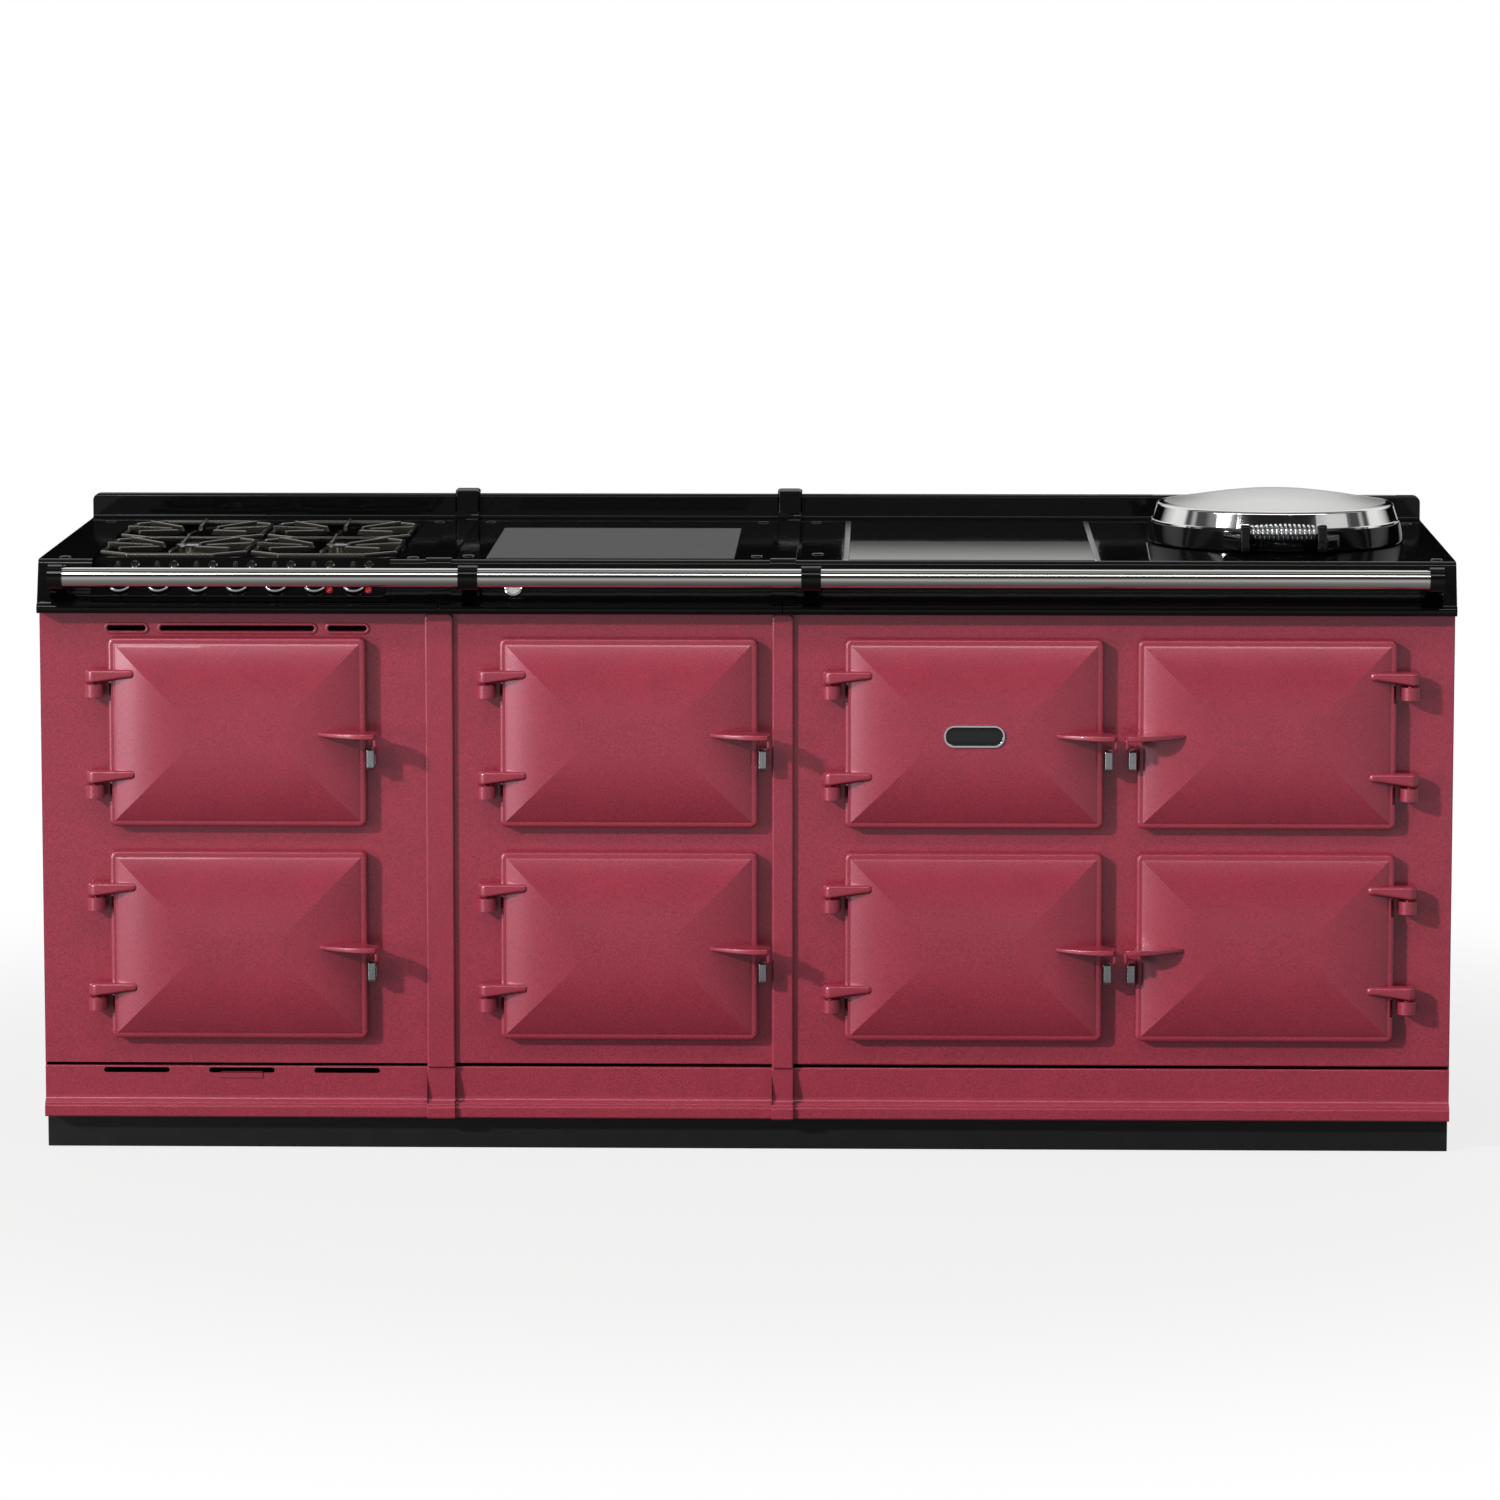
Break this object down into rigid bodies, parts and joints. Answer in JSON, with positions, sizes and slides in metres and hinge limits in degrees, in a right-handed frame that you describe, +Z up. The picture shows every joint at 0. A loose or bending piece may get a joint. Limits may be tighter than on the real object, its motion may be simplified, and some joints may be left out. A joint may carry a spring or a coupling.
{
  "type": "cast iron range cooker",
  "caption": "Three-module cast iron range cooker with oven doors, gas burners, warming plate, glass hob, domed insulating lid and a polished handrail.",
  "frame": {"origin": "on the floor, under the middle of the cooker's width and depth", "axes": "+X to the viewer's right, +Y from the front to the back, +Z up"},
  "size_m": [2.09, 0.78, 0.9644],
  "materials": {
    "raspberry_enamel": "glossy raspberry vitreous enamel with a faint orange peel",
    "black_enamel": "glossy black vitreous enamel",
    "polished_steel": "polished",
    "steel": "satin",
    "cast_iron": "dark, fine grain",
    "plinth_black": "satin black",
    "satin_grey": "ground satin grey",
    "black_glass": "glossy black ceramic glass",
    "element": "dull",
    "red_lens": "glossy red",
    "badge_black": "glossy, bare",
    "black_knob": "glossy black"
  },
  "bodies": {
    "cooker": {"plinth": "plinth_black", "base_tray": "steel", "upright_panels": "raspberry_enamel", "back_panel": "steel", "front_plate_left": "raspberry_enamel", "front_plate_middle": "raspberry_enamel", "front_plate_right": "raspberry_enamel", "base_valances": "raspberry_enamel", "pillars": "raspberry_enamel", "top_plate_left": "black_enamel", "top_plate_middle": "black_enamel", "top_plate_right": "black_enamel", "joint_strips": "black_enamel", "top_plate_plugs": "black_enamel", "handrails": "polished_steel", "rail_brackets": "black_enamel", "oven_boxes_left": "cast_iron", "oven_boxes_middle": "cast_iron", "oven_boxes_right": "cast_iron", "oven_shelves": "steel", "oven_elements": "element", "door_catches": "polished_steel", "hinge_lugs": "raspberry_enamel", "gas_burners": "cast_iron", "pan_supports": "cast_iron", "control_panel": "black_enamel", "indicator_lamps": "red_lens", "warming_plate": "satin_grey", "glass_hob": "black_glass", "boiling_plate": "cast_iron", "temperature_gauge": "polished_steel", "lid_hinge_base": "black_enamel", "service_spigots": "steel"},
    "door_left_upper": {"door_left_upper": "raspberry_enamel", "door_liner_left_upper": "steel"},
    "door_left_lower": {"door_left_lower": "raspberry_enamel", "door_liner_left_lower": "steel"},
    "door_middle_upper": {"door_middle_upper": "raspberry_enamel", "door_liner_middle_upper": "steel"},
    "door_middle_lower": {"door_middle_lower": "raspberry_enamel", "door_liner_middle_lower": "steel"},
    "door_right_upper_inner": {"door_right_upper_inner": "raspberry_enamel", "door_liner_right_upper_inner": "steel", "name_plate": "badge_black"},
    "door_right_lower_inner": {"door_right_lower_inner": "raspberry_enamel", "door_liner_right_lower_inner": "steel"},
    "door_right_upper_outer": {"door_right_upper_outer": "raspberry_enamel", "door_liner_right_upper_outer": "steel"},
    "door_right_lower_outer": {"door_right_lower_outer": "raspberry_enamel", "door_liner_right_lower_outer": "steel"},
    "knob_1": {"knob_1": "black_knob"},
    "knob_2": {"knob_2": "black_knob"},
    "knob_3": {"knob_3": "black_knob"},
    "knob_4": {"knob_4": "black_knob"},
    "knob_5": {"knob_5": "black_knob"},
    "knob_6": {"knob_6": "black_knob"},
    "knob_7": {"knob_7": "black_knob"},
    "lid": {"lid_dome": "polished_steel", "lid_skirt": "black_enamel", "lid_coil": "polished_steel"}
  },
  "joints": [
    {"name": "door_left_upper_hinge", "type": "hinge", "parent": "cooker", "child": "door_left_upper", "pos_m": [-0.962, -0.322, 0.63], "axis": [0, 0, -1], "range_deg": [0, 120]},
    {"name": "door_left_lower_hinge", "type": "hinge", "parent": "cooker", "child": "door_left_lower", "pos_m": [-0.962, -0.322, 0.312], "axis": [0, 0, -1], "range_deg": [0, 120]},
    {"name": "door_middle_upper_hinge", "type": "hinge", "parent": "cooker", "child": "door_middle_upper", "pos_m": [-0.383, -0.322, 0.63], "axis": [0, 0, -1], "range_deg": [0, 120]},
    {"name": "door_middle_lower_hinge", "type": "hinge", "parent": "cooker", "child": "door_middle_lower", "pos_m": [-0.383, -0.322, 0.312], "axis": [0, 0, -1], "range_deg": [0, 120]},
    {"name": "door_right_upper_inner_hinge", "type": "hinge", "parent": "cooker", "child": "door_right_upper_inner", "pos_m": [0.127, -0.322, 0.63], "axis": [0, 0, -1], "range_deg": [0, 120]},
    {"name": "door_right_lower_inner_hinge", "type": "hinge", "parent": "cooker", "child": "door_right_lower_inner", "pos_m": [0.127, -0.322, 0.312], "axis": [0, 0, -1], "range_deg": [0, 120]},
    {"name": "door_right_upper_outer_hinge", "type": "hinge", "parent": "cooker", "child": "door_right_upper_outer", "pos_m": [0.979, -0.322, 0.63], "axis": [0, 0, 1], "range_deg": [0, 120]},
    {"name": "door_right_lower_outer_hinge", "type": "hinge", "parent": "cooker", "child": "door_right_lower_outer", "pos_m": [0.979, -0.322, 0.312], "axis": [0, 0, 1], "range_deg": [0, 120]},
    {"name": "knob_1_turn", "type": "hinge", "parent": "cooker", "child": "knob_1", "pos_m": [-0.9249, -0.30145, 0.85007], "axis": [0, -0.7431, 0.6691], "range_deg": [0, 210]},
    {"name": "knob_2_turn", "type": "hinge", "parent": "cooker", "child": "knob_2", "pos_m": [-0.8671, -0.30145, 0.85007], "axis": [0, -0.7431, 0.6691], "range_deg": [0, 210]},
    {"name": "knob_3_turn", "type": "hinge", "parent": "cooker", "child": "knob_3", "pos_m": [-0.8093, -0.30145, 0.85007], "axis": [0, -0.7431, 0.6691], "range_deg": [0, 210]},
    {"name": "knob_4_turn", "type": "hinge", "parent": "cooker", "child": "knob_4", "pos_m": [-0.7515, -0.30145, 0.85007], "axis": [0, -0.7431, 0.6691], "range_deg": [0, 210]},
    {"name": "knob_5_turn", "type": "hinge", "parent": "cooker", "child": "knob_5", "pos_m": [-0.6937, -0.30145, 0.85007], "axis": [0, -0.7431, 0.6691], "range_deg": [-270, 0]},
    {"name": "knob_6_turn", "type": "hinge", "parent": "cooker", "child": "knob_6", "pos_m": [-0.6359, -0.30145, 0.85007], "axis": [0, -0.7431, 0.6691], "range_deg": [-270, 0]},
    {"name": "knob_7_turn", "type": "hinge", "parent": "cooker", "child": "knob_7", "pos_m": [-0.5781, -0.30145, 0.85007], "axis": [0, -0.7431, 0.6691], "range_deg": [-270, 0]},
    {"name": "lid_hinge", "type": "hinge", "parent": "cooker", "child": "lid", "pos_m": [0.797, 0.238, 0.899], "axis": [-1, 0, 0], "range_deg": [0, 75]}
  ]
}
